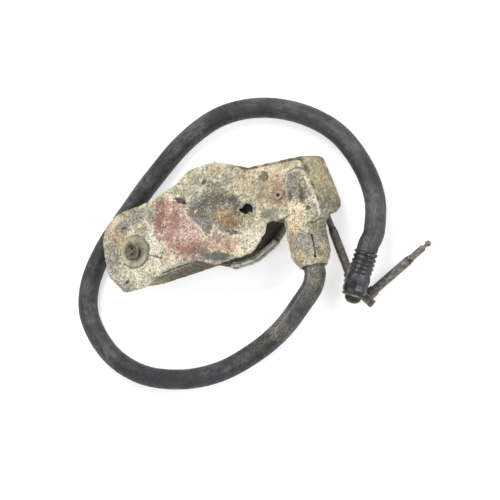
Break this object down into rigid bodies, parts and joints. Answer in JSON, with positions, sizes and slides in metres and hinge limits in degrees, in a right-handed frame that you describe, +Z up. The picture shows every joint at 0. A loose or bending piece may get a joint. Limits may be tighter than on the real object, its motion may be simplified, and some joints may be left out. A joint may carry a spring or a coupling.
{
  "type": "remote cable release",
  "caption": "Squeeze-grip remote release: a flat pressed-steel handle, a looped rubber-sheathed cable and a release head with two swinging ball-tipped arms.",
  "frame": {"origin": "on the surface that the release lies on, under the middle of the box round the handle and the release head, the free cable and its boot left out", "axes": "+X along the handle from its main pivot to its square cable end, +Y across it towards the top of its hump, +Z up, out of the front cover"},
  "size_m": [0.182, 0.1245, 0.0281],
  "materials": {
    "handle_paint": "worn matt paint over rusted steel",
    "dark_steel": "tarnished",
    "black_steel": "blackened",
    "arm_steel": "tarnished",
    "brass": "tarnished",
    "cable_rubber": "matt, dusty",
    "boot_rubber": "glossy"
  },
  "bodies": {
    "housing": {"front_cover": "handle_paint", "rear_pan": "handle_paint", "rear_lip": "handle_paint", "cable_nozzle": "handle_paint", "pivot_flange": "handle_paint", "pivot_screw": "dark_steel", "pivot_rear_nut": "dark_steel", "pivot_bush": "brass", "spacer_post_1": "dark_steel", "spacer_post_2": "dark_steel", "cover_rivet": "dark_steel", "return_spring": "dark_steel", "sheath_ferrule": "dark_steel", "nozzle_bush": "cable_rubber", "cable_root": "cable_rubber", "cable_sheath": "cable_rubber", "ribbed_boot": "boot_rubber", "end_barrel": "dark_steel", "end_ring": "brass", "swivel_lug": "brass", "swivel_stud": "dark_steel"},
    "lever": {"squeeze_lever": "black_steel"},
    "wire": {"wire_nipple": "brass"},
    "plunger": {"end_plunger": "black_steel"},
    "bar": {"cross_bar": "arm_steel", "arm_a_rivet": "dark_steel", "arm_b_rivet": "dark_steel"},
    "arm_a": {"arm_a_sleeve": "arm_steel", "arm_a_collar": "brass", "arm_a_pin": "arm_steel"},
    "arm_b": {"arm_b_sleeve": "arm_steel", "arm_b_collar": "brass", "arm_b_pin": "arm_steel"}
  },
  "joints": [
    {"name": "trigger_hinge", "type": "hinge", "parent": "housing", "child": "lever", "pos_m": [-0.05862, 0.01103, 0.0147], "axis": [0, 0, 1], "range_deg": [0, 4], "stiffness_Nm_per_rad": 2, "springref_deg": -1.15, "deforming": ["return_spring"]},
    {"name": "wire_slide", "type": "slide", "parent": "housing", "child": "wire", "axis": [0, 1, 0], "range_m": [0, 0.0062]},
    {"name": "plunger_slide", "type": "slide", "parent": "housing", "child": "plunger", "axis": [0.521, 0.8536, 0], "range_m": [0, 0.0062]},
    {"name": "bar_swivel", "type": "hinge", "parent": "housing", "child": "bar", "pos_m": [0.0383, -0.03041, 0.0043], "axis": [0, 0, 1], "range_deg": [-10, 10]},
    {"name": "arm_a_swing", "type": "hinge", "parent": "bar", "child": "arm_a", "pos_m": [0.03556, -0.02634, 0.002], "axis": [0, 0, 1], "range_deg": [-8, 60]},
    {"name": "arm_b_swing", "type": "hinge", "parent": "bar", "child": "arm_b", "pos_m": [0.04104, -0.03447, 0.002], "axis": [0, 0, 1], "range_deg": [-80, 8]}
  ],
  "couplings": [
    {"joint": "wire_slide", "follows": "trigger_hinge", "m_per_rad": 0.0844},
    {"joint": "plunger_slide", "follows": "trigger_hinge", "m_per_rad": 0.0844}
  ]
}
